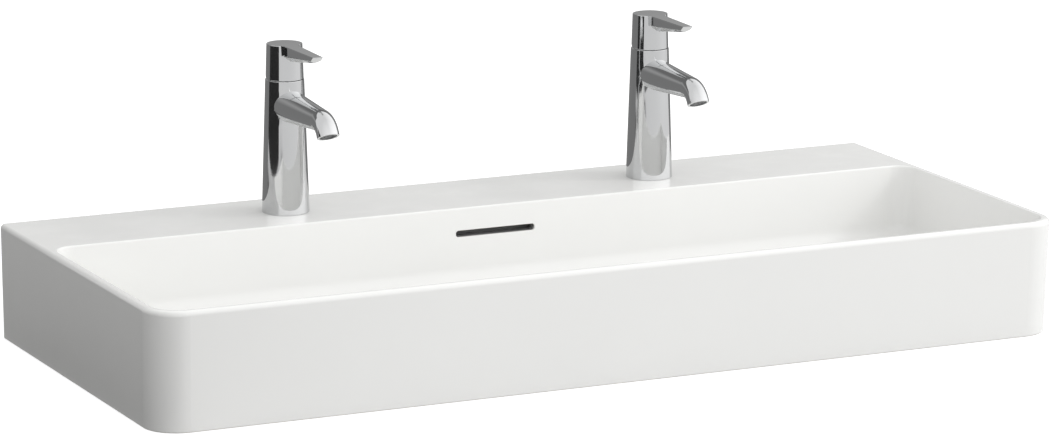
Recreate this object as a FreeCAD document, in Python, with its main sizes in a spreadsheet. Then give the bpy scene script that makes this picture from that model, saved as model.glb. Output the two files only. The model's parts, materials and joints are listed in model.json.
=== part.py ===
import FreeCAD, Part
import os
import re
import Sketcher

# A long basin with a rear deck, two single-lever mixers and a push-down waste.
# Millimetres and degrees. X runs along the basin, the user stands at -Y, Z is up.
# The origin is the middle of the footprint, on the surface that the basin stands on.

SIZES = {
    # Basin shell
    "basin_length": 950.0,
    "basin_depth": 420.0,
    "basin_height": 115.0,
    "side_draft_angle": 0.6,
    "front_draft_angle": 2.4,
    "front_corner_radius": 34.0,
    "wall": 6.5,
    "rim_outer_round": 4.6,
    "rim_inner_round": 1.7,
    "rear_edge_round": 2.0,
    "base_round": 1.2,
    "deck_depth": 120.5,
    "deck_thickness": 12.0,
    # Bowl
    "bowl_depth": 77.0,
    "bowl_draft_angle": 3.0,
    "bowl_rear_corner_radius": 20.0,
    "bowl_floor_round": 18.0,
    "floor_thickness": 12.0,
    "floor_fall": 2.0,
    "floor_fall_width": 70.0,
    # Overflow
    "slot_length": 86.0,
    "slot_height": 6.5,
    "slot_end_round": 3.0,
    "slot_edge_round": 0.5,
    "slot_drop": 26.0,
    "duct_gap": 12.0,
    "duct_wall": 8.0,
    "duct_side_gap": 3.0,
    "duct_headroom": 6.0,
    "channel_height": 9.0,
    "channel_half_width": 30.0,
    "channel_plate": 6.0,
    # Wall fixing
    "wall_hole_spacing": 280.0,
    "wall_hole_radius": 7.0,
    "wall_hole_height": 65.0,
    # Waste
    "waste_thread_radius": 20.95,
    "waste_hole_gap": 1.5,
    "flange_radius": 35.0,
    "flange_thickness": 2.5,
    "flange_gap": 0.5,
    "gasket_thickness": 1.5,
    "waste_bore_radius": 15.5,
    "waste_ledge": 1.0,
    "tail_thread_radius": 16.62,
    "tail_thread_length": 9.0,
    "bottom_gasket_thickness": 2.0,
    "backnut_thickness": 6.5,
    "backnut_radius": 28.0,
    "tail_reach": 1.0,
    "port_margin": 0.5,
    # Plug
    "plug_radius": 30.0,
    "plug_thickness": 4.5,
    "plug_edge_round": 1.5,
    "plug_seal_radius": 27.0,
    "plug_seal_width": 5.0,
    "plug_seal_thickness": 1.5,
    "plug_travel": 8.0,
    "spindle_radius": 3.0,
    "spindle_screw_depth": 2.5,
    "stop_nut_radius": 5.0,
    "stop_nut_thickness": 2.5,
    "guide_sleeve_radius": 5.2,
    "guide_sleeve_drop": 4.0,
    "guide_ring_height": 3.0,
    "guide_ring_width": 2.2,
    "guide_arm_width": 2.5,
    # Tap column
    "tap_spacing": 400.0,
    "tap_setback": 63.5,
    "tap_hole_radius": 17.5,
    "tap_base_radius": 23.6,
    "tap_split_radius": 19.25,
    "tap_split_height": 133.0,
    "column_bore_radius": 16.8,
    "column_edge_round": 0.4,
    "base_seal_inner_radius": 19.0,
    "base_seal_outer_radius": 22.0,
    "base_seal_thickness": 2.0,
    "inlet_radius": 5.0,
    "inlet_depth": 12.0,
    "inlet_cover": 15.5,
    "inlet_half_spacing": 7.5,
    "inlet_setback": 6.0,
    # Spout
    "spout_drop": 25.2,
    "spout_root_offset": 8.0,
    "spout_root_radius": 16.5,
    "spout_straight_length": 90.0,
    "spout_bend_radius": 20.0,
    "spout_end_angle": 63.0,
    "spout_end_length": 2.75,
    "spout_radius": 11.1,
    "waterway_radius": 4.5,
    "waterway_drop": 7.0,
    "aerator_radius": 8.6,
    "aerator_length": 6.5,
    "aerator_recess": 1.2,
    "aerator_seal_thickness": 1.3,
    "aerator_jet_radius": 0.9,
    "mouth_chamber_radius": 5.5,
    "mouth_chamber_length": 6.0,
    # Cartridge, measured down from the split between column and handle
    "cartridge_radius": 12.5,
    "cartridge_wall": 1.5,
    "cartridge_plate": 3.0,
    "cartridge_gasket": 1.5,
    "disc_thickness": 3.0,
    "moving_disc_radius": 7.4,
    "driver_height": 5.5,
    "driver_drop": 11.5,
    "port_radius": 2.2,
    "port_half_spacing": 5.5,
    "port_setback": 4.5,
    "outlet_radius": 2.8,
    "outlet_advance": 6.5,
    "nut_radius": 15.0,
    "nut_drop": 1.0,
    "nut_height": 7.0,
    "cover_height": 2.5,
    # Lever train
    "lever_lift_angle": 24.0,
    "stem_width": 7.0,
    "stem_square_drop": 7.5,
    "stem_neck_radius": 1.6,
    "stem_ball_radius": 2.8,
    "stem_ball_drop": 14.0,
    "stem_rise": 26.0,
    "carrier_rise": 4.5,
    "carrier_neck_radius": 9.25,
    "carrier_flange": 2.3,
    "carrier_slot_half": 7.4,
    "pin_radius": 2.0,
    "pin_inset": 0.6,
    # Handle
    "handle_gap": 0.5,
    "handle_height": 35.4,
    "handle_low_radius": 18.75,
    "handle_top_radius": 17.75,
    "handle_wall": 2.6,
    "handle_edge_round": 0.5,
    "handle_cavity_height": 13.0,
    "handle_relief_margin_angle": 1.5,
    "lever_reach": 84.0,
    "lever_root_half": 7.8,
    "lever_root_side": 11.0,
    "lever_root_depth": 17.7,
    "lever_tip_half": 5.4,
    "lever_tip_side": 4.0,
    "lever_tip_depth": 6.0,
    "lever_tip_edge": 0.8,
    "lever_tip_lean_angle": 52.0,
    "lever_keel_round": 2.0,
    "lever_edge_round": 0.6,
    "lever_flare_half": 13.4,
    "lever_flare_side": 12.0,
    "lever_flare_depth": 19.0,
    "lever_neck_reach": 20.0,
    "lever_neck_half": 6.6,
    "lever_neck_side": 8.0,
    "lever_neck_depth": 13.5,
    "grub_radius": 2.5,
    "grub_length": 7.0,
    "grub_height": 20.0,
    "screw_plug_radius": 3.4,
    "screw_plug_length": 3.0,
    # Tap fixing under the deck
    "stud_radius": 4.0,
    "stud_advance": 9.0,
    "stud_tail": 12.0,
    "stud_grip": 11.0,
    "clamp_radius": 23.0,
    "clamp_seal_thickness": 3.0,
    "clamp_plate_thickness": 2.5,
    "clamp_slot_half": 13.0,
    "clamp_web": 2.5,
    "stud_nut_radius": 7.5,
    "stud_nut_height": 10.0,
    # Fits
    "seat_clearance": 0.05,
    "running_clearance": 0.05,
    "free_clearance": 0.35,
    "overrun": 1.0,
}

DERIVED = {
    "half_length": "basin_length / 2",
    "front_y": "-basin_depth / 2",
    "rear_y": "basin_depth / 2",
    "side_inset": "basin_height * tan(side_draft_angle)",
    "front_inset": "basin_height * tan(front_draft_angle)",
    "bowl_half": "half_length - wall",
    "bowl_front_y": "front_y + wall",
    "bowl_rear_y": "rear_y - deck_depth",
    "bowl_side_inset": "bowl_depth * tan(bowl_draft_angle)",
    "bowl_front_corner_radius": "front_corner_radius - wall",
    "floor_z": "basin_height - bowl_depth",
    "floor_under_z": "floor_z - floor_thickness",
    "deck_under_z": "basin_height - deck_thickness",
    "cavity_half": "half_length - side_inset - wall",
    "cavity_front_y": "front_y + front_inset + wall",
    "cavity_rear_y": "rear_y - wall",
    "duct_y": "bowl_rear_y + wall",
    "slot_z": "basin_height - slot_drop",
    "channel_z": "floor_under_z - channel_height",
    "plate_z": "channel_z - channel_plate",
    "waste_y": "(bowl_front_y + bowl_rear_y) / 2",
    "flange_top_z": "floor_z - floor_fall",
    "flange_z": "flange_top_z - flange_thickness",
    "flange_seat_z": "flange_z - gasket_thickness",
    "backnut_top_z": "plate_z - bottom_gasket_thickness",
    "backnut_z": "backnut_top_z - backnut_thickness",
    "tail_z": "backnut_z - tail_reach",
    "guide_z": "floor_under_z + port_margin",
    "sleeve_z": "guide_z - guide_sleeve_drop",
    "plug_z": "flange_top_z + plug_seal_thickness",
    "stop_nut_top_z": "sleeve_z - plug_travel",
    "tap_y": "rear_y - tap_setback",
    "seat_z": "tap_split_height - cartridge_seat_drop",
    "fixed_disc_drop": "driver_drop + driver_height + 2 * disc_thickness",
    "cartridge_floor_drop": "fixed_disc_drop + cartridge_plate",
    "cartridge_seat_drop": "cartridge_floor_drop + cartridge_gasket",
    "cartridge_top_drop": "nut_drop + nut_height",
    "carrier_radius": "cartridge_radius - cartridge_wall - running_clearance",
    "throat_radius": "carrier_neck_radius + free_clearance",
    "carrier_top_drop": "cartridge_top_drop + free_clearance",
    "carrier_drop": "carrier_top_drop + carrier_flange",
    "disc_travel": "stem_ball_drop * sin(lever_lift_angle)",
    "inlet_top_z": "seat_z - inlet_cover",
    "column_bore_height": "inlet_top_z - inlet_depth",
    "spout_height": "tap_split_height - spout_drop",
    "waterway_height": "seat_z - waterway_drop",
    "bend_end_y": "-spout_straight_length - spout_bend_radius * sin(spout_end_angle)",
    "bend_end_z": "spout_height - spout_bend_radius * (1 - cos(spout_end_angle))",
    "mouth_y": "bend_end_y - spout_end_length * cos(spout_end_angle)",
    "mouth_z": "bend_end_z - spout_end_length * sin(spout_end_angle)",
    "mouth_tilt_angle": "spout_end_angle - 90",
    "aerator_bore_depth": "aerator_recess + aerator_length + aerator_seal_thickness",
    "lever_top_z": "tap_split_height + handle_height",
    "lever_start": "handle_top_radius / 2",
    "handle_relief_angle": "lever_lift_angle + handle_relief_margin_angle",
    "clamp_seal_z": "-deck_thickness - clamp_seal_thickness",
    "clamp_plate_z": "clamp_seal_z - clamp_plate_thickness",
    "stud_nut_z": "clamp_plate_z - stud_nut_height",
}

GUIDE_ARMS = 3
HEX_SIDES = 6
JETS_IN_RING = 6
JET_RING_SHARE = 0.55
PICK_TOLERANCE = 1e-3

ACROSS_X = FreeCAD.Vector(1, 0, 0)
ACROSS_Y = FreeCAD.Vector(0, 1, 0)
SWAP_X_AND_Z = FreeCAD.Vector(1, 0, 1)
UPWARD = FreeCAD.Vector(0, 0, 1)

doc = FreeCAD.newDocument("Basin")
sheet = doc.addObject("Spreadsheet::Sheet", "Sizes")
for row, (alias, size) in enumerate(SIZES.items(), start=1):
    sheet.set(f"A{row}", alias)
    sheet.set(f"B{row}", str(size))
    sheet.setAlias(f"B{row}", alias)
doc.recompute()

nodes = []


# Expressions and numbers

def expression(text):
    """Turn plain size names into references to the sheet."""
    def replace(match):
        word = match.group(0)
        if word in SIZES:
            return f"Sizes.{word}"
        if word in DERIVED:
            return f"({expression(DERIVED[word])})"
        return word
    return re.sub(r"[A-Za-z_]\w*", replace, str(text))


def number(text):
    return float(sheet.evalExpression(expression(text)))


def bind(thing, prop, text):
    thing.setExpression(prop, expression(text))


def place(thing, x=0, y=0, z=0, axis=None, angle=0):
    """Bind a thing's place, and its turn about one axis where it has one."""
    bind(thing, ".Placement.Base.x", x)
    bind(thing, ".Placement.Base.y", y)
    bind(thing, ".Placement.Base.z", z)
    if axis is not None:
        thing.Placement = FreeCAD.Placement(FreeCAD.Vector(), FreeCAD.Rotation(axis, number(angle)))
        bind(thing, ".Placement.Rotation.Angle", angle)
    return thing


def keep(thing, node):
    """Name a finished sub-part and note it for writing."""
    thing.Label = node
    nodes.append(thing)
    return thing


# Sketches

def new_sketch(body, name, role="XY_Plane", offset=0):
    plane = next(item for item in body.Origin.OriginFeatures if item.Role == role)
    sketch = body.newObject("Sketcher::SketchObject", name)
    sketch.AttachmentSupport = [(plane, "")]
    sketch.MapMode = "FlatFace"
    bind(sketch, ".AttachmentOffset.Base.z", offset)
    return sketch


def constrain(sketch, size, *reference):
    index = sketch.addConstraint(Sketcher.Constraint(*reference, number(size)))
    bind(sketch, f"Constraints[{index}]", size)


def draw_polygon(sketch, corners):
    points = [FreeCAD.Vector(number(x), number(y), 0) for x, y in corners]
    count = len(points)
    for index, start in enumerate(points):
        sketch.addGeometry(Part.LineSegment(start, points[(index + 1) % count]), False)
    for index in range(count):
        sketch.addConstraint(Sketcher.Constraint("Coincident", index, 2, (index + 1) % count, 1))
    for index, (x, y) in enumerate(corners):
        constrain(sketch, x, "DistanceX", -1, 1, index, 1)
        constrain(sketch, y, "DistanceY", -1, 1, index, 1)
    return sketch


def draw_circle(sketch, x, y, radius):
    centre = FreeCAD.Vector(number(x), number(y), 0)
    index = sketch.addGeometry(Part.Circle(centre, UPWARD, number(radius)), False)
    constrain(sketch, x, "DistanceX", -1, 1, index, 3)
    constrain(sketch, y, "DistanceY", -1, 1, index, 3)
    constrain(sketch, radius, "Radius", index)
    return sketch


def draw_rectangle(sketch, half_width, front, rear):
    return draw_polygon(sketch, [
        (f"-({half_width})", front), (half_width, front),
        (half_width, rear), (f"-({half_width})", rear)])


def draw_rounded(sketch, half_width, front, rear, front_radius, rear_radius):
    """A rectangle about the Y axis with tangent arcs at its corners, drawn anticlockwise."""
    side, near, far = number(half_width), number(front), number(rear)
    corner_radii = (front_radius, rear_radius, rear_radius, front_radius)
    corners = ((side, near), (side, far), (-side, far), (-side, near))
    inward = ((-1, 1), (-1, -1), (1, -1), (1, 1))
    right_angle = 0.5 * number("pi")
    arcs = []
    for index, ((x, y), (along, across), radius) in enumerate(zip(corners, inward, corner_radii)):
        reach = number(radius)
        centre = FreeCAD.Vector(x + along * reach, y + across * reach, 0)
        start = (index - 1) * right_angle
        arcs.append(Part.ArcOfCircle(Part.Circle(centre, UPWARD, reach), start, start + right_angle))
    count = len(arcs)
    for arc in arcs:
        sketch.addGeometry(arc, False)
    for index in range(count):
        line = Part.LineSegment(arcs[index - 1].EndPoint, arcs[index].StartPoint)
        sketch.addGeometry(line, False)
    for index, radius in enumerate(corner_radii):
        line = count + index
        sketch.addConstraint(Sketcher.Constraint("Tangent", (index - 1) % count, 2, line, 1))
        sketch.addConstraint(Sketcher.Constraint("Tangent", line, 2, index, 1))
        sketch.addConstraint(Sketcher.Constraint("Vertical" if index % 2 else "Horizontal", line))
        constrain(sketch, radius, "Radius", index)
    constrain(sketch, front, "DistanceY", -1, 1, count, 1)
    constrain(sketch, half_width, "DistanceX", -1, 1, count + 1, 1)
    constrain(sketch, rear, "DistanceY", -1, 1, count + 2, 1)
    constrain(sketch, f"-({half_width})", "DistanceX", -1, 1, count + 3, 1)
    return sketch


# Features of a body

def new_body(name):
    return doc.addObject("PartDesign::Body", name)


def grow(body, kind, sketch, **settings):
    feature = body.newObject(f"PartDesign::{kind}", kind.lower())
    feature.Profile = sketch
    for prop, value in settings.items():
        if isinstance(value, str):
            bind(feature, prop, value)
        else:
            setattr(feature, prop, value)
    doc.recompute()
    return feature


def box_feature(body, kind, half_width, front, rear, low, high):
    """A box about the Y axis, added to the body or cut from it."""
    feature = body.newObject(f"PartDesign::{kind}", kind.lower())
    bind(feature, "Length", f"2 * ({half_width})")
    bind(feature, "Width", f"({rear}) - ({front})")
    bind(feature, "Height", f"({high}) - ({low})")
    place(feature, f"-({half_width})", front, low)
    doc.recompute()
    return feature


def carve(body, kind, sketch, **settings):
    """Grow a cutting feature and make sure that it took material away."""
    before = body.Shape.Volume
    feature = grow(body, kind, sketch, **settings)
    if not 0 < body.Shape.Volume < before:
        raise ValueError(f"{feature.Name} on {body.Name} cut nothing or everything")
    return feature


def round_edges(body, radius, chosen):
    """Round the edges of the body's present shape that the test picks."""
    names = [f"Edge{index}" for index, edge in enumerate(body.Shape.Edges, start=1) if chosen(edge.BoundBox)]
    if not names:
        raise ValueError(f"no edge to round on {body.Name}")
    rounded = body.Tip
    rounding = body.newObject("PartDesign::Fillet", "rounding")
    rounding.Base = (rounded, names)
    bind(rounding, "Radius", radius)
    doc.recompute()
    return rounding


def lean_faces(body, angle, chosen, inward):
    """Lean the picked faces about the top face, which keeps its outline."""
    leaned = body.Tip
    faces = [(f"Face{index}", face.BoundBox) for index, face in enumerate(body.Shape.Faces, start=1)]
    top = [name for name, box in faces if at_height(box, "basin_height")]
    leaning = body.newObject("PartDesign::Draft", "leaning")
    leaning.Base = (leaned, [name for name, box in faces if chosen(box)])
    leaning.NeutralPlane = (leaned, top)
    bind(leaning, "Angle", angle)
    leaning.Reversed = inward
    doc.recompute()
    return leaning


def turned(name, profile):
    """A body turned about Z from a closed outline of radius and height."""
    body = new_body(name)
    sketch = draw_polygon(new_sketch(body, "outline", "XZ_Plane"), profile)
    turning = body.newObject("PartDesign::Revolution", "turning")
    turning.Profile = sketch
    turning.ReferenceAxis = (sketch, ["V_Axis"])
    return body


def ring(name, inner, outer, low, high):
    return turned(name, [(inner, low), (outer, low), (outer, high), (inner, high)])


def rod(name, radius, low, high):
    return ring(name, 0, radius, low, high)


def tapered(name, low_radius, high_radius, low, high, edge_round):
    """A tapered round column with its two rims rounded."""
    body = turned(name, [(0, low), (low_radius, low), (high_radius, high), (0, high)])
    doc.recompute()
    round_edges(body, edge_round, lambda box: at_height(box, low) or at_height(box, high))
    return body


# Plain solids and how they combine

def solid(kind, name, **sizes):
    thing = doc.addObject(f"Part::{kind}", name)
    for prop, size in sizes.items():
        bind(thing, prop, size)
    return thing


def cylinder(name, radius, height, x=0, y=0, z=0, axis=None, angle=0):
    return place(solid("Cylinder", name, Radius=radius, Height=height), x, y, z, axis, angle)


def block(name, half_width, front, rear, low, high):
    thing = solid("Box", name, Length=f"2 * ({half_width})", Width=f"({rear}) - ({front})",
                  Height=f"({high}) - ({low})")
    return place(thing, f"-({half_width})", front, low)


def hexagon(name, radius, height, x=0, y=0, z=0):
    thing = solid("Prism", name, Circumradius=radius, Height=height)
    thing.Polygon = HEX_SIDES
    return place(thing, x, y, z)


def cut(name, base, *tools):
    for tool in tools:
        result = doc.addObject("Part::Cut", name)
        result.Base = base
        result.Tool = tool
        base = result
    return base


def fuse(name, *things):
    result = doc.addObject("Part::MultiFuse", name)
    result.Shapes = list(things)
    result.Refine = True
    return result


# Basin

def near(value, size):
    return abs(value - number(size)) < PICK_TOLERANCE


def at_height(box, height):
    return near(box.ZMin, height) and near(box.ZMax, height)


def on_bowl_edge(box):
    margin = number("wall - rim_inner_round / 2")
    side, front = number("half_length") - margin, number("front_y") + margin
    within = box.XMax < side and box.XMin > -side and box.YMin > front
    return at_height(box, "basin_height") and within and box.YMax < number("bowl_rear_y + wall / 2")


def upright(box, low, high):
    return near(box.ZMin, low) and near(box.ZMax, high)


def bowl_wall(box):
    return upright(box, "floor_z", "basin_height")


def bowl_front(box):
    return bowl_wall(box) and near(box.YMax, "bowl_front_y")


def basin_shell(body):
    """The leaning slab and the bowl cut into it, with all edges still sharp."""
    box_feature(body, "AdditiveBox", "half_length", "front_y", "rear_y", 0, "basin_height")
    lean_faces(body, "front_draft_angle", lambda box: near(box.YMax, "front_y"), True)
    lean_faces(body, "side_draft_angle", lambda box: box.XLength < PICK_TOLERANCE, True)
    box_feature(body, "SubtractiveBox", "bowl_half", "bowl_front_y", "bowl_rear_y", "floor_z",
                "basin_height + overrun")
    lean_faces(body, "bowl_draft_angle", lambda box: bowl_wall(box) and not bowl_front(box), False)
    lean_faces(body, "front_draft_angle", bowl_front, False)


def basin_roundings(body):
    def on_rear_face(box):
        return near(box.YMin, "rear_y")

    def outer_rim(box):
        return at_height(box, "basin_height") and not on_bowl_edge(box) and not on_rear_face(box)

    def front_upright(box):
        return upright(box, 0, "basin_height") and box.YMax < 0

    round_edges(body, "front_corner_radius", front_upright)
    round_edges(body, "bowl_front_corner_radius", lambda box: bowl_wall(box) and box.YMax < 0)
    round_edges(body, "bowl_rear_corner_radius", lambda box: bowl_wall(box) and box.YMin > 0)
    round_edges(body, "bowl_floor_round", lambda box: at_height(box, "floor_z"))
    round_edges(body, "rim_outer_round", outer_rim)
    round_edges(body, "rear_edge_round", lambda box: on_rear_face(box) and not at_height(box, 0))
    round_edges(body, "rim_inner_round", on_bowl_edge)
    round_edges(body, "base_round", lambda box: at_height(box, 0))


def basin_underside(body):
    corner = "bowl_front_corner_radius"
    under_bowl = draw_rounded(new_sketch(body, "under_bowl"), "cavity_half", "cavity_front_y",
                              "cavity_rear_y", corner, corner)
    carve(body, "Pocket", under_bowl, Length="floor_under_z", Reversed=True)
    under_deck = draw_rounded(new_sketch(body, "under_deck"), "cavity_half", "duct_y",
                              "cavity_rear_y", corner, corner)
    carve(body, "Pocket", under_deck, Length="deck_under_z", Reversed=True)


def basin_overflow(body):
    """The slot, the duct behind the bowl's back wall and the channel under the floor."""
    channel_outer = "channel_half_width + duct_wall"
    duct_half = "slot_length / 2 + duct_side_gap"
    duct_rear = "duct_y + duct_gap"
    channel = draw_rectangle(new_sketch(body, "channel_outside", offset="plate_z"), channel_outer,
                             f"waste_y - ({channel_outer})", "duct_y")
    grow(body, "Pad", channel, Length="floor_under_z - plate_z + overrun")
    duct = draw_rectangle(new_sketch(body, "duct_outside", offset="plate_z"), f"{duct_half} + duct_wall",
                          "duct_y - overrun", f"{duct_rear} + duct_wall")
    grow(body, "Pad", duct, Length="deck_under_z - plate_z + overrun")
    channel_way = draw_rectangle(new_sketch(body, "channel_inside", offset="channel_z"),
                                 "channel_half_width", "waste_y - channel_half_width", duct_rear)
    carve(body, "Pocket", channel_way, Length="channel_height", Reversed=True)
    duct_way = draw_rectangle(new_sketch(body, "duct_inside", offset="channel_z"), duct_half,
                              "duct_y", duct_rear)
    carve(body, "Pocket", duct_way, Length="slot_z + slot_height / 2 + duct_headroom - channel_z",
          Reversed=True)
    slot = draw_rounded(new_sketch(body, "slot", "XZ_Plane", "-(bowl_rear_y - bowl_side_inset - overrun)"),
                        "slot_length / 2", "slot_z - slot_height / 2", "slot_z + slot_height / 2",
                        "slot_end_round", "slot_end_round")
    carve(body, "Pocket", slot, Length="wall + bowl_side_inset + 2 * overrun")
    low, high = number("slot_z - slot_height / 2"), number("slot_z + slot_height / 2")
    half, behind = number("slot_length / 2"), number("duct_y - wall / 2")
    round_edges(body, "slot_edge_round",
                lambda box: box.ZMin > low - PICK_TOLERANCE and box.ZMax < high + PICK_TOLERANCE
                and abs(box.Center.x) < half and box.YMax < behind)


def basin_holes(body):
    fall = body.newObject("PartDesign::SubtractiveCone", "floor_fall_cone")
    bind(fall, "Radius1", "flange_radius + flange_gap")
    bind(fall, "Radius2", "flange_radius + flange_gap + floor_fall_width")
    bind(fall, "Height", "floor_fall")
    bind(fall, ".Placement.Base.y", "waste_y")
    bind(fall, ".Placement.Base.z", "flange_top_z")
    doc.recompute()
    seat = draw_circle(new_sketch(body, "flange_seat", offset="flange_seat_z"), 0, "waste_y",
                       "flange_radius + flange_gap")
    carve(body, "Pocket", seat, Length="flange_top_z - flange_seat_z + overrun", Reversed=True)
    outlet = draw_circle(new_sketch(body, "waste_hole", offset="flange_seat_z + overrun"), 0, "waste_y",
                         "waste_thread_radius + waste_hole_gap")
    carve(body, "Pocket", outlet, Length="flange_seat_z - plate_z + 2 * overrun")
    taps = new_sketch(body, "tap_holes", offset="basin_height + overrun")
    for side in (-1, 1):
        draw_circle(taps, f"{side} * tap_spacing / 2", "tap_y", "tap_hole_radius")
    carve(body, "Pocket", taps, Length="deck_thickness + 2 * overrun")
    fixings = new_sketch(body, "wall_holes", "XZ_Plane", "-(cavity_rear_y - overrun)")
    for side in (-1, 1):
        draw_circle(fixings, f"{side} * wall_hole_spacing / 2", "wall_hole_height", "wall_hole_radius")
    carve(body, "Pocket", fixings, Length="wall + 2 * overrun")


def make_basin():
    body = new_body("basin")
    basin_shell(body)
    basin_roundings(body)
    basin_underside(body)
    basin_overflow(body)
    basin_holes(body)
    keep(body, "basin")


# Waste

def seat_at_waste(thing, node):
    return keep(place(thing, y="waste_y"), node)


def make_waste_fitting():
    thread_hole = "waste_thread_radius + seat_clearance"
    ledge_radius = "waste_bore_radius - waste_ledge"
    tail_top = "tail_z + tail_thread_length"
    barrel = turned("waste_barrel", [
        ("tail_thread_radius", "tail_z"), ("waste_thread_radius", "tail_z"),
        ("waste_thread_radius", "flange_z"), ("flange_radius", "flange_z"),
        ("flange_radius", "flange_top_z"), ("waste_bore_radius", "flange_top_z"),
        ("waste_bore_radius", "guide_z"), (ledge_radius, "guide_z"),
        (ledge_radius, tail_top), ("tail_thread_radius", tail_top)])
    drill_half = "waste_thread_radius + overrun"
    drill = {"radius": "channel_height / 2 - port_margin", "height": f"2 * ({drill_half})",
             "z": "channel_z + channel_height / 2"}
    port_along_x = cylinder("port_along_x", x=f"-({drill_half})", axis=ACROSS_Y, angle=90, **drill)
    port_along_y = cylinder("port_along_y", y=f"-({drill_half})", axis=ACROSS_X, angle=-90, **drill)
    seat_at_waste(cut("ported_barrel", barrel, port_along_x, port_along_y), "waste_body")
    seat_at_waste(ring("top_gasket", thread_hole, "flange_radius", "flange_seat_z", "flange_z"),
                  "waste_top_gasket")
    seat_at_waste(ring("bottom_gasket", thread_hole, "backnut_radius", "backnut_top_z", "plate_z"),
                  "waste_bottom_gasket")
    nut = hexagon("backnut_blank", "backnut_radius", "backnut_thickness", z="backnut_z")
    nut_hole = cylinder("backnut_hole", thread_hole, "backnut_thickness + 2 * overrun",
                        z="backnut_z - overrun")
    seat_at_waste(cut("backnut", nut, nut_hole), "waste_backnut")


def guide_arm(index):
    turn = 360 * index / GUIDE_ARMS
    start = "(guide_sleeve_radius - guide_arm_width / 4)"
    half = "(guide_arm_width / 2)"
    arm = solid("Box", f"guide_arm_{index}", Length="guide_arm_width", Height="guide_ring_height",
                Width=f"waste_bore_radius - guide_ring_width / 2 - {start}")
    return place(arm, f"-{half} * cos({turn}) - {start} * sin({turn})",
                 f"{start} * cos({turn}) - {half} * sin({turn})", "guide_z", UPWARD, turn)


def make_plug():
    screw_hole = "spindle_radius + seat_clearance"
    screw_top = "plug_z + spindle_screw_depth"
    plug_top = "plug_z + plug_thickness"
    nut_z = "stop_nut_top_z - stop_nut_thickness"
    ring_top = "guide_z + guide_ring_height"
    seat_at_waste(turned("cap", [
        (screw_hole, "plug_z"), ("plug_radius", "plug_z"),
        ("plug_radius", f"{plug_top} - plug_edge_round"), ("plug_radius - plug_edge_round", plug_top),
        (0, plug_top), (0, screw_top), (screw_hole, screw_top)]), "plug_cap")
    seat_at_waste(ring("seal", "plug_seal_radius - plug_seal_width", "plug_seal_radius",
                       "flange_top_z + seat_clearance", "plug_z"), "plug_seal")
    seat_at_waste(rod("spindle", "spindle_radius", nut_z, screw_top), "plug_spindle")
    nut = hexagon("stop_nut_blank", "stop_nut_radius", "stop_nut_thickness", z=nut_z)
    nut_hole = cylinder("stop_nut_hole", screw_hole, "stop_nut_thickness + 2 * overrun",
                        z=f"{nut_z} - overrun")
    seat_at_waste(cut("stop_nut", nut, nut_hole), "plug_stop_nut")
    outer_ring = ring("guide_ring", "waste_bore_radius - guide_ring_width",
                      "waste_bore_radius - seat_clearance", "guide_z", ring_top)
    sleeve = ring("guide_sleeve", "spindle_radius + running_clearance", "guide_sleeve_radius",
                  "sleeve_z", ring_top)
    arms = [guide_arm(index) for index in range(GUIDE_ARMS)]
    seat_at_waste(fuse("guide", outer_ring, sleeve, *arms), "plug_guide")


# Taps, drawn about the column's axis with heights above the deck

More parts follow.
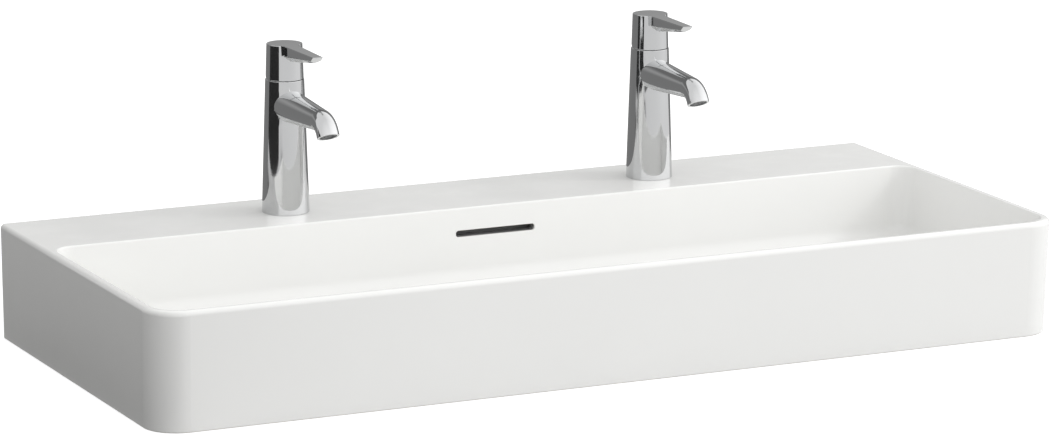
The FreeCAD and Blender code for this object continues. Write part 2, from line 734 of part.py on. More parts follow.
class Tap:
    """One mixer: its pieces are named after its side and stand on the deck at its own place."""

    def __init__(self, side, sign):
        self.side = side
        self.x = f"{sign} * tap_spacing / 2"

    def seat(self, thing, piece, x=0, y=0, z=0, axis=None, angle=0):
        place(thing, f"{self.x} + ({x})", f"tap_y + ({y})", f"basin_height + ({z})", axis, angle)
        return keep(thing, f"{self.side}_{piece}")

    def cartridge_ports(self, low, high):
        """The two inlet ways and the outlet way between two heights."""
        height = f"({high}) - ({low}) + 2 * overrun"
        start = f"({low}) - overrun"
        ways = [cylinder("inlet_way", "port_radius", height, f"{sign} * port_half_spacing",
                         "port_setback", start) for sign in (-1, 1)]
        return ways + [cylinder("outlet_way", "outlet_radius", height, 0, "-outlet_advance", start)]

    def spout(self):
        """A tapering straight run, a bend and a short end, all round in section."""
        run = solid("Cone", "spout_run", Radius1="spout_root_radius", Radius2="spout_radius",
                    Height="spout_straight_length - spout_root_offset")
        place(run, 0, "-spout_root_offset", "spout_height", ACROSS_X, 90)
        bend = solid("Torus", "spout_bend", Radius1="spout_bend_radius", Radius2="spout_radius",
                     Angle3="spout_end_angle")
        place(bend, 0, "-spout_straight_length", "spout_height - spout_bend_radius", SWAP_X_AND_Z, 180)
        return fuse("spout", run, bend, self.mouth_drill("spout_end", "spout_radius", 0, "spout_end_length"))

    def mouth_drill(self, name, radius, low, high):
        """A round length along the mouth's axis, between two depths from the mouth."""
        return cylinder(name, radius, f"({high}) - ({low})", 0,
                        f"mouth_y + ({low}) * cos(spout_end_angle)",
                        f"mouth_z + ({low}) * sin(spout_end_angle)", ACROSS_X, "mouth_tilt_angle")

    def waterway(self):
        depth = "(aerator_bore_depth + mouth_chamber_length)"
        run = f"(-outlet_advance + outlet_radius - mouth_y - {depth} * cos(spout_end_angle))"
        rise = f"(mouth_z + {depth} * sin(spout_end_angle) - waterway_height)"
        return cylinder("waterway", "waterway_radius", f"sqrt({run} ^ 2 + {rise} ^ 2)", 0,
                        "-outlet_advance + outlet_radius", "waterway_height", ACROSS_X,
                        f"90 - atan({rise} / {run}) / (1 deg)")

    def body(self):
        column = tapered("column", "tap_base_radius", "tap_split_radius", 0, "tap_split_height",
                         "column_edge_round")
        inlets = [cylinder("inlet", "inlet_radius", "inlet_depth + overrun", f"{sign} * inlet_half_spacing",
                           "inlet_setback", "column_bore_height - overrun") for sign in (-1, 1)]
        inlet_ways = self.cartridge_ports("inlet_top_z", "seat_z")[:-1]
        outlet_way = self.cartridge_ports("waterway_height", "seat_z")[-1]
        nut_seat = "tap_split_height - cartridge_top_drop"
        tools = [
            cylinder("column_bore", "column_bore_radius", "column_bore_height + overrun", z="-overrun"),
            ring("seal_groove", "base_seal_inner_radius", "base_seal_outer_radius", "-overrun",
                 "base_seal_thickness"),
            cylinder("cartridge_bore", "cartridge_radius + seat_clearance",
                     "cartridge_seat_drop + overrun", z="seat_z"),
            cylinder("nut_bore", "nut_radius + seat_clearance", "cartridge_top_drop + overrun", z=nut_seat),
            cylinder("stud_hole", "stud_radius + seat_clearance", "stud_grip + overrun", 0,
                     "-stud_advance", "column_bore_height - overrun"),
            self.waterway(),
            self.mouth_drill("aerator_bore", "aerator_radius + seat_clearance", "-overrun",
                             "aerator_bore_depth"),
            self.mouth_drill("mouth_chamber", "mouth_chamber_radius", "aerator_bore_depth - overrun",
                             "aerator_bore_depth + mouth_chamber_length"),
            outlet_way]
        self.seat(cut("tap_body", fuse("casting", column, self.spout()), *tools, *inlets, *inlet_ways),
                  "tap_body")

    def aerator(self):
        low = "aerator_recess"
        high = "aerator_recess + aerator_length"
        fit_radius = "aerator_radius - seat_clearance"
        jets = [cylinder("jet", "aerator_jet_radius", "aerator_length + 2 * overrun",
                         z=f"{low} - overrun")]
        for index in range(JETS_IN_RING):
            turn = 360 * index / JETS_IN_RING
            reach = f"{JET_RING_SHARE} * aerator_radius"
            jets.append(cylinder("jet", "aerator_jet_radius", "aerator_length + 2 * overrun",
                                 f"{reach} * cos({turn})", f"{reach} * sin({turn})", f"{low} - overrun"))
        mouth = {"y": "mouth_y", "z": "mouth_z", "axis": ACROSS_X, "angle": "mouth_tilt_angle"}
        self.seat(cut("aerator", rod("aerator_blank", fit_radius, low, high), *jets), "aerator", **mouth)
        self.seat(ring("seal", "mouth_chamber_radius", fit_radius, high, "aerator_bore_depth"),
                  "aerator_seal", **mouth)

    def cartridge(self):
        floor = "tap_split_height - cartridge_floor_drop"
        disc = "tap_split_height - fixed_disc_drop"
        top = "tap_split_height - cartridge_top_drop"
        inner = "cartridge_radius - cartridge_wall"
        ported = [
            ("cartridge_gasket", rod("gasket", "cartridge_radius", "seat_z", floor), "seat_z", floor),
            ("cartridge_housing", turned("housing", [
                (0, floor), ("cartridge_radius", floor), ("cartridge_radius", top), (inner, top),
                (inner, disc), (0, disc)]), floor, disc),
            ("fixed_disc", rod("disc", "carrier_radius", disc, f"{disc} + disc_thickness"),
             disc, f"{disc} + disc_thickness")]
        for piece, blank, low, high in ported:
            self.seat(cut(piece, blank, *self.cartridge_ports(low, high)), piece)
        nut_top = "tap_split_height - nut_drop"
        self.seat(ring("nut", "throat_radius", "nut_radius", top, nut_top), "retaining_nut")
        self.seat(ring("cover", "throat_radius", "nut_radius", nut_top, f"{nut_top} + cover_height"),
                  "cartridge_cover")

    def sliding_disc(self):
        """The moving disc and its driver stand half their travel back from the column's axis."""
        low = "tap_split_height - fixed_disc_drop + disc_thickness"
        driver_low = f"{low} + disc_thickness"
        driver_high = "tap_split_height - driver_drop"
        setback = "disc_travel / 2"
        self.seat(rod("disc", "moving_disc_radius", f"{low} + running_clearance", driver_low),
                  "moving_disc", y=setback)
        ball_reach = "stem_ball_radius + free_clearance"
        socket = block("ball_socket", ball_reach, f"-({setback}) - ({ball_reach})",
                       f"{ball_reach} - ({setback})", f"{driver_low} - overrun", f"{driver_high} + overrun")
        driver = rod("driver", "moving_disc_radius", driver_low, driver_high)
        self.seat(cut("driver", driver, socket), "disc_driver", y=setback)

    def lever_train(self):
        pivot = "tap_split_height"
        pin_half = "carrier_neck_radius - pin_inset"
        hole_half = "carrier_radius + overrun"

        def pin_hole(clearance):
            return cylinder("pin_hole", f"pin_radius + {clearance}", f"2 * ({hole_half})",
                            f"-({hole_half})", 0, pivot, ACROSS_Y, 90)

        flange_low = f"{pivot} - carrier_drop"
        flange_top = f"{pivot} - carrier_top_drop"
        carrier_top = f"{pivot} + carrier_rise"
        carrier = turned("carrier", [
            (0, flange_low), ("carrier_radius", flange_low), ("carrier_radius", flange_top),
            ("carrier_neck_radius", flange_top), ("carrier_neck_radius", carrier_top), (0, carrier_top)])
        slot = block("stem_slot", "stem_width / 2 + free_clearance", "-carrier_slot_half",
                     "carrier_slot_half", f"{flange_low} - overrun", f"{carrier_top} + overrun")
        self.seat(cut("carrier", carrier, slot, pin_hole("seat_clearance")), "lever_carrier")
        pin = solid("Cylinder", "pin", Radius="pin_radius", Height=f"2 * ({pin_half})")
        self.seat(pin, "pivot_pin", x=f"-({pin_half})", z=pivot, axis=ACROSS_Y, angle=90)
        square = block("stem_square", "stem_width / 2", "-stem_width / 2", "stem_width / 2",
                       f"{pivot} - stem_square_drop", f"{pivot} + stem_rise")
        neck = cylinder("stem_neck", "stem_neck_radius", "stem_ball_drop", z=f"{pivot} - stem_ball_drop")
        ball = place(solid("Sphere", "stem_ball", Radius="stem_ball_radius"), z=f"{pivot} - stem_ball_drop")
        self.seat(cut("stem", fuse("stem_bar", square, neck, ball), pin_hole("running_clearance")),
                  "lever_stem")

    def lever_bar(self, name, ends):
        """A tapering bar between two sections: flat on top, with upright sides and a keel below."""
        bar = new_body(name)
        sections = []
        top = "lever_top_z"
        for end, reach in ends.items():
            half = f"lever_{end}_half"
            side = f"{top} - lever_{end}_side"
            keel = f"{top} - lever_{end}_depth"
            sections.append(draw_polygon(new_sketch(bar, f"{end}_section", "XZ_Plane", reach), [
                (f"-{half}", top), (f"-{half}", side), (0, keel), (half, side), (half, top)]))
        grow(bar, "AdditiveLoft", sections[0], Sections=sections[1:], Ruled=True)
        return bar

    def lever_wing(self):
        """The lever, rounded along its edges and cut away under its tip."""
        wing = self.lever_bar("lever_wing", {"root": "lever_start", "tip": "lever_reach"})
        middle = number("-lever_reach / 2")
        top = number("lever_top_z") - PICK_TOLERANCE
        round_edges(wing, "lever_keel_round", lambda box: box.YMin < middle < box.YMax and box.ZMin < top)
        round_edges(wing, "lever_edge_round", lambda box: box.YMin < middle < box.YMax and box.ZMin > top)
        nose = "lever_top_z - lever_tip_edge"
        low = f"{nose} - lever_root_depth"
        under = draw_polygon(new_sketch(wing, "tip_outline", "YZ_Plane", "-lever_root_half"), [
            ("-lever_reach", nose), ("-lever_reach - overrun", nose), ("-lever_reach - overrun", low),
            ("lever_root_depth * tan(lever_tip_lean_angle) - lever_reach", low)])
        carve(wing, "Pocket", under, Length="2 * lever_root_half", Reversed=True)
        return wing

    def handle(self):
        pivot = "tap_split_height"
        grub_z = f"{pivot} + grub_height"
        cap = tapered("cap", "handle_low_radius", "handle_top_radius", f"{pivot} + handle_gap", "lever_top_z",
                      "handle_edge_round")
        reach = "handle_low_radius + overrun"
        relief = solid("Box", "relief", Length=f"2 * ({reach})", Width=f"2 * ({reach})", Height=reach)
        place(relief, f"-({reach})", f"({reach}) * sin(handle_relief_angle)",
              f"{pivot} + handle_gap - ({reach}) * cos(handle_relief_angle)", ACROSS_X, "handle_relief_angle")
        socket_half = "stem_width / 2 + seat_clearance"
        cavity_top = f"{pivot} + handle_cavity_height"
        plug_start = "handle_top_radius - screw_plug_length"
        tools = [
            cylinder("handle_cavity", "handle_low_radius - handle_wall", "handle_cavity_height + overrun",
                     z=f"{pivot} - overrun"),
            relief,
            block("stem_socket", socket_half, f"-({socket_half})", socket_half, f"{cavity_top} - overrun",
                  f"{pivot} + stem_rise + seat_clearance"),
            cylinder("grub_hole", "grub_radius + seat_clearance", "handle_low_radius", 0, 0, grub_z,
                     ACROSS_X, -90),
            cylinder("plug_hole", "screw_plug_radius + seat_clearance", "screw_plug_length + overrun", 0,
                     plug_start, grub_z, ACROSS_X, -90)]
        flare = self.lever_bar("lever_flare", {"flare": "lever_start", "neck": "lever_neck_reach"})
        self.seat(cut("handle", fuse("handle_blank", cap, self.lever_wing(), flare), *tools), "handle")
        grub = solid("Cylinder", "grub", Radius="grub_radius", Height="grub_length")
        self.seat(grub, "grub_screw", y="stem_width / 2", z=grub_z, axis=ACROSS_X, angle=-90)
        plug = solid("Cylinder", "plug", Radius="screw_plug_radius", Height="screw_plug_length")
        self.seat(plug, "screw_plug", y=plug_start, z=grub_z, axis=ACROSS_X, angle=-90)

    def fixing(self):
        """The base seal, and the stud, clamp and nut that pull the tap down from under the deck."""
        self.seat(ring("seal", "base_seal_inner_radius + seat_clearance",
                       "base_seal_outer_radius - seat_clearance", 0, "base_seal_thickness"), "base_seal")
        stud = rod("stud", "stud_radius", "stud_nut_z - stud_tail", "column_bore_height + stud_grip")
        self.seat(stud, "mounting_stud", y="-stud_advance")
        stud_hole = "stud_radius + seat_clearance"
        for piece, low, high in (("horseshoe_seal", "clamp_seal_z", "-deck_thickness"),
                                 ("horseshoe_plate", "clamp_plate_z", "clamp_seal_z")):
            height = f"({high}) - ({low}) + 2 * overrun"
            slot = block("hose_slot", "clamp_slot_half", "stud_radius + clamp_web - stud_advance",
                         "clamp_radius + overrun", f"{low} - overrun", f"{high} + overrun")
            hole = cylinder("clamp_hole", stud_hole, height, 0, "-stud_advance", f"{low} - overrun")
            self.seat(cut(piece, rod("clamp", "clamp_radius", low, high), slot, hole), piece)
        nut = hexagon("stud_nut_blank", "stud_nut_radius", "stud_nut_height", z="stud_nut_z")
        nut_hole = cylinder("stud_nut_hole", stud_hole, "stud_nut_height + 2 * overrun",
                            z="stud_nut_z - overrun")
        self.seat(cut("stud_nut", nut, nut_hole), "stud_nut", y="-stud_advance")

    def make(self):
        self.body()
        self.aerator()
        self.cartridge()
        self.sliding_disc()
        self.lever_train()
        self.handle()
        self.fixing()


# Build, check and write

def check_and_write():
    doc.recompute()
    for thing in doc.Objects:
        if "Invalid" in thing.State or "Error" in thing.State:
            raise ValueError(f"{thing.Label} failed: {thing.State}")
    for thing in nodes:
        if thing.Shape.isNull() or not thing.Shape.isValid() or not thing.Shape.Solids:
            raise ValueError(f"{thing.Label} has no valid solid")
    os.makedirs("parts", exist_ok=True)
    for thing in nodes:
        thing.Shape.exportStep(f"parts/{thing.Label}.step")


make_basin()
make_waste_fitting()
make_plug()
for tap_side, tap_sign in (("left", -1), ("right", 1)):
    Tap(tap_side, tap_sign).make()
check_and_write()
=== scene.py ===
import json
import math

import bpy
from mathutils import Matrix, Vector


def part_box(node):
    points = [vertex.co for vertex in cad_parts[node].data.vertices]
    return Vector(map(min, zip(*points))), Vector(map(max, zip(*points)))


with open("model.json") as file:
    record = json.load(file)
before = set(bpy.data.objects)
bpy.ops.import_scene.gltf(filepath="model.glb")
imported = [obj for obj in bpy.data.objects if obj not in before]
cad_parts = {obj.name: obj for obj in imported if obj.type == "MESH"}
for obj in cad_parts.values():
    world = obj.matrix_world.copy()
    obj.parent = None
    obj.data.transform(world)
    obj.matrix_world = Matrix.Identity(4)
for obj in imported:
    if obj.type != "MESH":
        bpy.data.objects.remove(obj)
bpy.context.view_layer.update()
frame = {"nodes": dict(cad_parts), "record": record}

# A long glazed basin with two chrome mixers, in metres, seen as the photograph shows it.

MILLIMETRE = 0.001

# Camera, found from the basin's straight edges in the photograph
IMAGE_WIDTH_PX = 1050
FOCAL_PX = 5142.2
CAMERA_AZIMUTH = math.radians(25.143)
CAMERA_ELEVATION = math.radians(12.447)
CAMERA_ROLL = math.radians(0.102)
CAMERA_DISTANCE = 5.02138
CAMERA_TARGET = Vector((-0.008084, 0.0, 0.118146))
SENSOR_WIDTH_MM = 36.0

# Basin features that its bare body and the painted shade inside its overflow follow
RIM_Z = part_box("basin")[1][2]
BOWL_REAR_Y = 89.5 * MILLIMETRE
BOWL_LEAN = math.radians(3.0)
DUCT_HALF = 46.3 * MILLIMETRE
DUCT_REAR_Y = 108.3 * MILLIMETRE
DUCT_TOP_Z = 99.0 * MILLIMETRE
SLOT_EDGE = 0.5 * MILLIMETRE
FOOT_Z = 0.4 * MILLIMETRE
DOWNWARD_NORMAL_Z = -0.5

# Finishes: tones go from dark to light, and roughness from smooth to rough
GLAZE_TONES = ((0.82, 0.82, 0.806), (0.845, 0.845, 0.832))
GLAZE_ROUGHNESS = (0.16, 0.24)
GLAZE_RIPPLE_DEPTH = 0.05 * MILLIMETRE
GLAZE_IOR = 1.5
BISCUIT_TONES = ((0.66, 0.63, 0.57), (0.74, 0.71, 0.65))
BISCUIT_ROUGHNESS = 0.8
# Painted shade: the dark grey that stands for the shade inside the overflow's slot and duct
OVERFLOW_PAINTED_SHADE = 0.32
CHROME_TONES = ((0.62, 0.625, 0.63), (0.66, 0.665, 0.67))
CHROME_ROUGHNESS = (0.03, 0.07)
CHROME_RIPPLE_DEPTH = 0.01 * MILLIMETRE
RUBBER_TONES = ((0.018, 0.018, 0.018), (0.04, 0.04, 0.04))
RUBBER_ROUGHNESS = (0.55, 0.8)
RUBBER_GRAIN_DEPTH = 0.05 * MILLIMETRE
BRASS_TONES = ((0.55, 0.40, 0.18), (0.70, 0.54, 0.28))
BRASS_ROUGHNESS = (0.22, 0.4)
BRASS_PITCH = 1.25 * MILLIMETRE
STEEL_TONES = ((0.45, 0.455, 0.46), (0.58, 0.585, 0.59))
STEEL_ROUGHNESS = (0.2, 0.38)
STEEL_PITCH = 0.4 * MILLIMETRE
RIDGE_DEPTH_SHARE = 0.25
DISC_TONES = ((0.80, 0.77, 0.71), (0.86, 0.84, 0.79))
DISC_ROUGHNESS = (0.15, 0.3)
WHITE_PLASTIC_TONES = ((0.74, 0.75, 0.75), (0.80, 0.81, 0.81))
GREY_PLASTIC_TONES = ((0.06, 0.062, 0.066), (0.09, 0.092, 0.098))
PLASTIC_ROUGHNESS = (0.35, 0.5)
MOULD_GRAIN_DEPTH = 0.03 * MILLIMETRE

# Room light at the rear, at the front, and what the right adds
WORLD_REAR = 0.92
WORLD_FRONT = 1.27
WORLD_RIGHT = 0.62

# Floor: its glow for the camera, the tone seen, its glow in mirrors, and the tone that lights the basin
FLOOR_HALF = 20.0
FLOOR_GLOW = 0.74
FLOOR_SEEN = 0.46
FLOOR_MIRRORED = 0.30
FLOOR_BOUNCE = 0.55

# Dark cloth on the floor by the basin's left end
CLOTH_LEVEL = 0.22
CLOTH_CENTRE = (-0.75, 0.0)
CLOTH_HALF = (0.26, 0.8)
CLOTH_SOFT_EDGE = 0.06

# Soft lamp at the right
LAMP_PLACE = Vector((2.0, -0.7, 1.41))
LAMP_SIDE = 0.35
LAMP_POWER = 8.8
LAMP_AIM = Vector((0.0, 0.0, 0.1))

# Upright cards on the floor: two that the chrome mirrors, and a flag that shades the left end
LEFT_CARD = ((-1.2, -0.52), (-1.2, 0.85))
LEFT_CARD_HEIGHT = 0.32
LEFT_CARD_LEVEL = 0.05
REAR_CARD = ((-0.62, 0.42), (1.4, 0.42))
REAR_CARD_HEIGHT = 0.6
REAR_CARD_LEVEL = 0.24
REAR_CARD_STEPS = (
    # start height, end height, level
    (0.28, 0.35, 0.39),
    (0.365, 0.42, 0.19),
)
FLAG = ((-1.0, -0.9), (-1.0, 0.9))
FLAG_HEIGHT = 0.32
FLAG_LEVEL = 0.05
CARD_ROUGHNESS = 0.9
CARD_MOTTLE_SHARES = (0.95, 1.05)


# Nodes

# Places of a mix node's two inputs and its output, for numbers and for colours
MIX_SOCKETS = {"FLOAT": (2, 3, 0), "RGBA": (6, 7, 2)}

# Most of a noise's values lie in this span
NOISE_SPAN = (0.3, 0.7)


def colour(red, green, blue):
    return (red, green, blue, 1.0)


def grey(level):
    return colour(level, level, level)


class Recipe:
    """A node tree under construction, with its main shader at hand."""

    def __init__(self, name):
        self.material = bpy.data.materials.new(name)
        self.material.use_nodes = True
        self.tree = self.material.node_tree
        self.shader = self.tree.nodes["Principled BSDF"]
        self.place = self.node("ShaderNodeTexCoord").outputs["Object"]

    def node(self, kind, **settings):
        made = self.tree.nodes.new(kind)
        for name, value in settings.items():
            setattr(made, name, value)
        return made

    def put(self, value, socket):
        """Set a socket to a plain value, or link it to another node's output."""
        if isinstance(value, bpy.types.NodeSocket):
            self.tree.links.new(value, socket)
        else:
            socket.default_value = value

    def set(self, **values):
        for name, value in values.items():
            self.put(value, self.shader.inputs[name.replace("_", " ")])

    def finish_with(self, shader_socket):
        """Use another shader than the main one for the surface."""
        self.put(shader_socket, self.tree.nodes["Material Output"].inputs["Surface"])

    def noise(self, scale, detail=3.0, roughness=0.5):
        made = self.node("ShaderNodeTexNoise")
        self.put(self.place, made.inputs["Vector"])
        self.put(scale, made.inputs["Scale"])
        self.put(detail, made.inputs["Detail"])
        self.put(roughness, made.inputs["Roughness"])
        return made.outputs["Fac"]

    def spread(self, value, low, high, start=0.0, end=1.0):
        """Map a value from one span to another, held at the ends."""
        made = self.node("ShaderNodeMapRange", clamp=True)
        self.put(value, made.inputs["Value"])
        for socket, number in zip(("From Min", "From Max", "To Min", "To Max"), (start, end, low, high)):
            self.put(number, made.inputs[socket])
        return made.outputs["Result"]

    def mix(self, factor, first, second, kind="RGBA"):
        made = self.node("ShaderNodeMix", data_type=kind)
        first_place, second_place, result_place = MIX_SOCKETS[kind]
        self.put(factor, made.inputs["Factor"])
        self.put(first, made.inputs[first_place])
        self.put(second, made.inputs[second_place])
        return made.outputs[result_place]

    def blend(self, factor, first, second):
        """A number between two others."""
        return self.mix(factor, first, second, "FLOAT")

    def shade(self, factor, tones):
        """A colour between a dark and a light tone."""
        dark, light = tones
        return self.mix(factor, colour(*dark), colour(*light))

    def math(self, operation, first, second=0.0):
        made = self.node("ShaderNodeMath", operation=operation)
        self.put(first, made.inputs[0])
        self.put(second, made.inputs[1])
        return made.outputs["Value"]

    def product(self, first, *others):
        result = first
        for other in others:
            result = self.math("MULTIPLY", result, other)
        return result

    def axes(self, vector):
        made = self.node("ShaderNodeSeparateXYZ")
        self.put(vector, made.inputs["Vector"])
        return made.outputs

    def bump(self, height, depth, strength):
        made = self.node("ShaderNodeBump")
        self.put(height, made.inputs["Height"])
        self.put(depth, made.inputs["Distance"])
        self.put(strength, made.inputs["Strength"])
        return made.outputs["Normal"]

    def glow(self, strength):
        made = self.node("ShaderNodeEmission")
        self.put(strength, made.inputs["Strength"])
        return made.outputs["Emission"]


# Materials

def overflow_shade_mask(recipe):
    """One in the overflow's slot and duct, behind the bowl's leaning back wall, where shade is painted.
    """
    x, y, z = recipe.axes(recipe.place)
    wall_y = recipe.math("SUBTRACT", BOWL_REAR_Y, recipe.math(
        "MULTIPLY", recipe.math("SUBTRACT", RIM_Z, z), math.tan(BOWL_LEAN)))
    behind = recipe.spread(recipe.math("SUBTRACT", y, wall_y), 0.0, 1.0, 0.0, SLOT_EDGE)
    return recipe.product(
        behind, recipe.math("LESS_THAN", recipe.math("ABSOLUTE", x), DUCT_HALF),
        recipe.math("LESS_THAN", y, DUCT_REAR_Y), recipe.math("LESS_THAN", z, DUCT_TOP_Z))


def make_glaze():
    """White glaze over a fired body, which is bare where faces look down and at the foot, with painted
    shade in dark grey inside the overflow's slot and duct.
    """
    recipe = Recipe("white_glaze")
    cloud = recipe.shade(recipe.noise(scale=9.0, detail=4.0), GLAZE_TONES)
    biscuit = recipe.shade(recipe.noise(scale=220.0, detail=6.0, roughness=0.7), BISCUIT_TONES)
    normal = recipe.node("ShaderNodeNewGeometry").outputs["True Normal"]
    looks_down = recipe.math("LESS_THAN", recipe.axes(normal)["Z"], DOWNWARD_NORMAL_Z)
    foot = recipe.math("LESS_THAN", recipe.axes(recipe.place)["Z"], FOOT_Z)
    bare = recipe.math("MAXIMUM", looks_down, foot)
    tone = recipe.mix(bare, cloud, biscuit)
    # Painted shade: the overflow's slot and duct are painted dark grey
    tone = recipe.mix(overflow_shade_mask(recipe), tone, grey(OVERFLOW_PAINTED_SHADE))
    gloss = recipe.spread(recipe.noise(scale=30.0, detail=4.0), *GLAZE_ROUGHNESS, *NOISE_SPAN)
    recipe.set(Base_Color=tone, IOR=GLAZE_IOR, Roughness=recipe.blend(bare, gloss, BISCUIT_ROUGHNESS))
    ripple = recipe.noise(scale=55.0, detail=2.0)
    recipe.set(Normal=recipe.bump(ripple, GLAZE_RIPPLE_DEPTH, strength=0.4))
    return recipe.material


def make_chrome():
    recipe = Recipe("polished_chrome")
    tone = recipe.shade(recipe.noise(scale=25.0), CHROME_TONES)
    smear = recipe.noise(scale=60.0, detail=4.0, roughness=0.6)
    recipe.set(Base_Color=tone, Metallic=1.0,
               Roughness=recipe.spread(smear, *CHROME_ROUGHNESS, *NOISE_SPAN))
    ripple = recipe.noise(scale=140.0, detail=2.0)
    recipe.set(Normal=recipe.bump(ripple, CHROME_RIPPLE_DEPTH, strength=0.3))
    return recipe.material


def make_rubber():
    recipe = Recipe("black_rubber")
    grain = recipe.noise(scale=900.0, detail=4.0)
    recipe.set(Base_Color=recipe.shade(grain, RUBBER_TONES),
               Roughness=recipe.spread(grain, *RUBBER_ROUGHNESS),
               Normal=recipe.bump(grain, RUBBER_GRAIN_DEPTH, strength=0.5))
    return recipe.material


def make_machined(name, tones, roughness, pitch):
    """A turned metal whose threads or tool marks run round Z, one ridge for each pitch."""
    recipe = Recipe(name)
    stain = recipe.noise(scale=180.0, detail=5.0, roughness=0.6)
    half_turns = recipe.math("DIVIDE", recipe.axes(recipe.place)["Z"], pitch / 2)
    ridges = recipe.math("PINGPONG", half_turns, 1.0)
    recipe.set(Base_Color=recipe.shade(stain, tones), Metallic=1.0,
               Roughness=recipe.spread(stain, *roughness),
               Normal=recipe.bump(ridges, pitch * RIDGE_DEPTH_SHARE, strength=0.6))
    return recipe.material


def make_moulded(name, tones, roughness):
    recipe = Recipe(name)
    cloud = recipe.noise(scale=70.0)
    grain = recipe.noise(scale=1500.0)
    recipe.set(Base_Color=recipe.shade(cloud, tones),
               Roughness=recipe.spread(grain, *roughness),
               Normal=recipe.bump(grain, MOULD_GRAIN_DEPTH, strength=0.4))
    return recipe.material


MATERIALS = {
    "glaze": make_glaze(),
    "chrome": make_chrome(),
    "rubber": make_rubber(),
    "brass": make_machined("turned_brass", BRASS_TONES, BRASS_ROUGHNESS, BRASS_PITCH),
    "steel": make_machined("machined_steel", STEEL_TONES, STEEL_ROUGHNESS, STEEL_PITCH),
    "disc_ceramic": make_moulded("lapped_ceramic", DISC_TONES, DISC_ROUGHNESS),
    "white_plastic": make_moulded("white_plastic", WHITE_PLASTIC_TONES, PLASTIC_ROUGHNESS),
    "grey_plastic": make_moulded("grey_plastic", GREY_PLASTIC_TONES, PLASTIC_ROUGHNESS),
}

for subpart in frame["record"]["subparts"]:
    node = frame["nodes"][subpart["node"]]
    for material_slot in node.material_slots:
        material_slot.material = MATERIALS[subpart["material_slot"]]


# Camera

def add_camera():
    back = Vector((-math.sin(CAMERA_AZIMUTH) * math.cos(CAMERA_ELEVATION),
                   -math.cos(CAMERA_AZIMUTH) * math.cos(CAMERA_ELEVATION), math.sin(CAMERA_ELEVATION)))
    level_right = Vector((0, 0, 1)).cross(back).normalized()
    level_up = back.cross(level_right)
    right = math.cos(CAMERA_ROLL) * level_right + math.sin(CAMERA_ROLL) * level_up
    up = back.cross(right)
    data = bpy.data.cameras.new("camera")
    data.sensor_fit = "HORIZONTAL"
    data.sensor_width = SENSOR_WIDTH_MM
    data.lens = SENSOR_WIDTH_MM * FOCAL_PX / IMAGE_WIDTH_PX
    camera = bpy.data.objects.new("camera", data)
    turn = Matrix((right, up, back)).transposed().to_4x4()
    camera.matrix_world = Matrix.Translation(CAMERA_TARGET + back * CAMERA_DISTANCE) @ turn
    bpy.context.scene.collection.objects.link(camera)
    bpy.context.scene.camera = camera


# Studio

def add_sheet(name, corners, material):
    """A flat sheet of the studio, which isn't part of the object."""
    mesh = bpy.data.meshes.new(name)
    mesh.from_pydata(corners, [], [tuple(range(len(corners)))])
    mesh.materials.append(material)
    sheet = bpy.data.objects.new(name, mesh)
    bpy.context.scene.collection.objects.link(sheet)
    return sheet


def floor_material():
    """White paper that keeps a soft shadow, with a dark cloth on it that the camera doesn't see."""
    recipe = Recipe("pale_paper")
    rays = recipe.node("ShaderNodeLightPath").outputs
    mirrored = recipe.math("MAXIMUM", rays["Is Glossy Ray"], rays["Is Transmission Ray"])
    off_cloth = 0.0
    for place, centre, half in zip(recipe.axes(recipe.place), CLOTH_CENTRE, CLOTH_HALF):
        offset = recipe.math("ABSOLUTE", recipe.math("SUBTRACT", place, centre))
        outside = recipe.spread(offset, 0.0, 1.0, half, half + CLOTH_SOFT_EDGE)
        off_cloth = recipe.math("MAXIMUM", outside, off_cloth)
    bounce = recipe.mix(off_cloth, grey(CLOTH_LEVEL), grey(FLOOR_BOUNCE))
    seen = recipe.math("MAXIMUM", rays["Is Camera Ray"], recipe.product(mirrored, off_cloth))
    paper = recipe.node("ShaderNodeBsdfDiffuse")
    recipe.put(recipe.mix(seen, bounce, grey(FLOOR_SEEN)), paper.inputs["Color"])
    glow = recipe.glow(recipe.math("ADD", recipe.product(rays["Is Camera Ray"], FLOOR_GLOW),
                                   recipe.product(mirrored, off_cloth, FLOOR_MIRRORED)))
    lit_paper = recipe.node("ShaderNodeAddShader")
    recipe.put(paper.outputs["BSDF"], lit_paper.inputs[0])
    recipe.put(glow, lit_paper.inputs[1])
    recipe.finish_with(lit_paper.outputs["Shader"])
    return recipe.material


def card_material(name, level):
    """A dark matt card."""
    recipe = Recipe(name)
    mottle = recipe.mix(recipe.noise(scale=40.0), *(grey(level * share) for share in CARD_MOTTLE_SHARES))
    recipe.set(Base_Color=mottle, Roughness=CARD_ROUGHNESS)
    return recipe.material


def mirror_card_material(name, level, steps):
    """A lit card whose level changes in soft steps up its height."""
    recipe = Recipe(name)
    height = recipe.axes(recipe.place)["Z"]
    for start, end, next_level in steps:
        level = recipe.blend(recipe.spread(height, 0.0, 1.0, start, end), level, next_level)
    recipe.finish_with(recipe.glow(level))
    return recipe.material


def add_card(name, ends, height, material):
    """An upright card on the floor that the camera doesn't see and that casts no shadow."""
    start, end = ends
    card = add_sheet(name, [(*start, 0), (*end, 0), (*end, height), (*start, height)], material)
    card.visible_camera = False
    card.visible_transmission = False
    card.visible_shadow = False
    return card


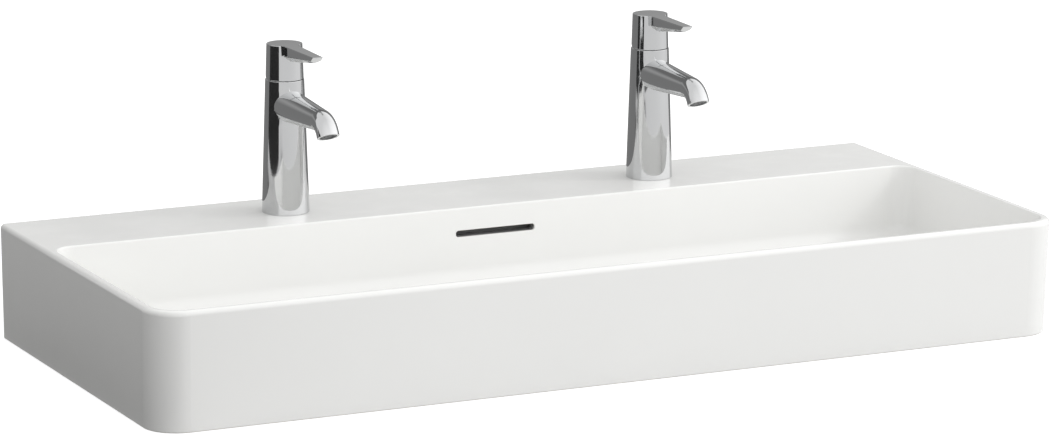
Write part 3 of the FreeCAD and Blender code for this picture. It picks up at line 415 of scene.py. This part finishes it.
def add_lamp():
    """A soft lamp that neither the camera nor the chrome sees."""
    data = bpy.data.lights.new("key", "AREA")
    data.shape = "SQUARE"
    data.size = LAMP_SIDE
    data.energy = LAMP_POWER
    lamp = bpy.data.objects.new("key", data)
    lamp.location = LAMP_PLACE
    lamp.rotation_euler = (LAMP_AIM - LAMP_PLACE).to_track_quat("-Z", "Y").to_euler()
    lamp.visible_camera = False
    lamp.visible_glossy = False
    bpy.context.scene.collection.objects.link(lamp)


def add_world():
    """An even room, lighter towards the front and towards the right."""
    world = bpy.data.worlds.new("studio")
    bpy.context.scene.world = world
    world.use_nodes = True
    nodes, links = world.node_tree.nodes, world.node_tree.links
    axes = nodes.new("ShaderNodeSeparateXYZ")
    links.new(nodes.new("ShaderNodeTexCoord").outputs["Generated"], axes.inputs["Vector"])
    total = nodes.new("ShaderNodeMath")
    total.operation = "ADD"
    sides = (("Y", -1.0, WORLD_REAR, WORLD_FRONT), ("X", 1.0, 0.0, WORLD_RIGHT))
    for (axis, farthest, low, high), term in zip(sides, total.inputs):
        level = nodes.new("ShaderNodeMapRange")
        links.new(axes.outputs[axis], level.inputs["Value"])
        for socket, number in (("From Max", farthest), ("To Min", low), ("To Max", high)):
            level.inputs[socket].default_value = number
        links.new(level.outputs["Result"], term)
    background = nodes["Background"]
    links.new(total.outputs["Value"], background.inputs["Strength"])
    background.inputs["Color"].default_value = grey(1.0)


def add_studio():
    corners = [(x * FLOOR_HALF, y * FLOOR_HALF, 0) for x, y in ((-1, -1), (1, -1), (1, 1), (-1, 1))]
    add_sheet("floor", corners, floor_material())
    left_card = add_card("left_card", LEFT_CARD, LEFT_CARD_HEIGHT,
                         card_material("left_card", LEFT_CARD_LEVEL))
    rear_card = add_card("rear_card", REAR_CARD, REAR_CARD_HEIGHT,
                         mirror_card_material("rear_card", REAR_CARD_LEVEL, REAR_CARD_STEPS))
    flag = add_card("flag", FLAG, FLAG_HEIGHT, card_material("flag", FLAG_LEVEL))
    left_card.visible_diffuse = False
    rear_card.visible_diffuse = False
    flag.visible_glossy = False
    add_lamp()
    add_world()


add_camera()
add_studio()
bpy.context.scene.view_settings.view_transform = "Standard"
